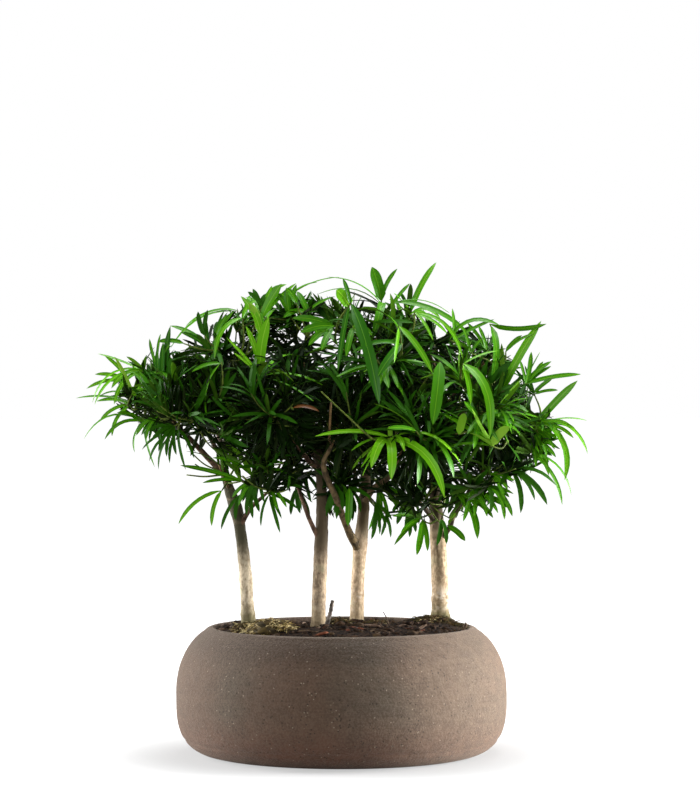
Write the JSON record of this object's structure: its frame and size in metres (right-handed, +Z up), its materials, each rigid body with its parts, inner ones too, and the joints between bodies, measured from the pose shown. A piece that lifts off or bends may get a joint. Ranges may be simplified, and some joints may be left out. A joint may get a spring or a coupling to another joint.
{
  "type": "podocarpus bonsai clump in a round bowl",
  "caption": "Small podocarpus group planting: slender stems rise from a round stoneware bowl and carry boughs with masses of long narrow leaves that close into a wide crown.",
  "frame": {"origin": "centre of the bowl's flat underside, where it stands on a surface", "axes": "+Z up; +X along the row of stems, to the right as seen from the front; the front faces -Y"},
  "size_m": [0.3265, 0.21, 0.3104],
  "materials": {
    "stoneware": "matt unglazed brown-grey stoneware with pale grog specks, fine pits and turning lines",
    "soil": "dark damp crumbly potting soil",
    "moss": "dry golden olive moss",
    "dead_wood": "grey weathered dead twig",
    "bark": "thin mottled beige-grey bark with fine cracks and leaf scars",
    "foliage": "smooth leathery narrow leaves, dark green with brighter yellow-green young ones"
  },
  "bodies": {
    "root": {"bowl": "stoneware", "soil": "soil", "moss_cushion": "moss", "dead_stub": "dead_wood", "trunk_1": "bark", "trunk_2": "bark", "trunk_3": "bark", "trunk_4": "bark", "bough_left_far": "bark", "bough_left_front": "bark", "bough_left_back": "bark", "bough_left_low": "bark", "bough_mid_left_front": "bark", "bough_mid_left_back": "bark", "bough_mid_left_low": "bark", "bough_mid_front": "bark", "bough_mid_upper_front": "bark", "bough_mid_back": "bark", "bough_bright_front": "bark", "bough_right_far": "bark", "bough_right_top": "bark", "bough_right_front": "bark", "bough_right_back": "bark", "bough_right_low": "bark", "bough_right_low_left": "bark", "foliage_left_far": "foliage", "foliage_left_front": "foliage", "foliage_left_back": "foliage", "foliage_left_top": "foliage", "foliage_left_under": "foliage", "foliage_left_low": "foliage", "foliage_mid_left_front": "foliage", "foliage_mid_left_back": "foliage", "foliage_mid_left_top": "foliage", "foliage_mid_left_low": "foliage", "foliage_mid_front": "foliage", "foliage_mid_upper_front": "foliage", "foliage_mid_top": "foliage", "foliage_mid_back": "foliage", "foliage_mid_low": "foliage", "foliage_bright_front": "foliage", "foliage_right_far": "foliage", "foliage_right_top": "foliage", "foliage_right_peak": "foliage", "foliage_right_front": "foliage", "foliage_right_back": "foliage", "foliage_right_low": "foliage", "foliage_right_low_left": "foliage"}
  },
  "joints": []
}
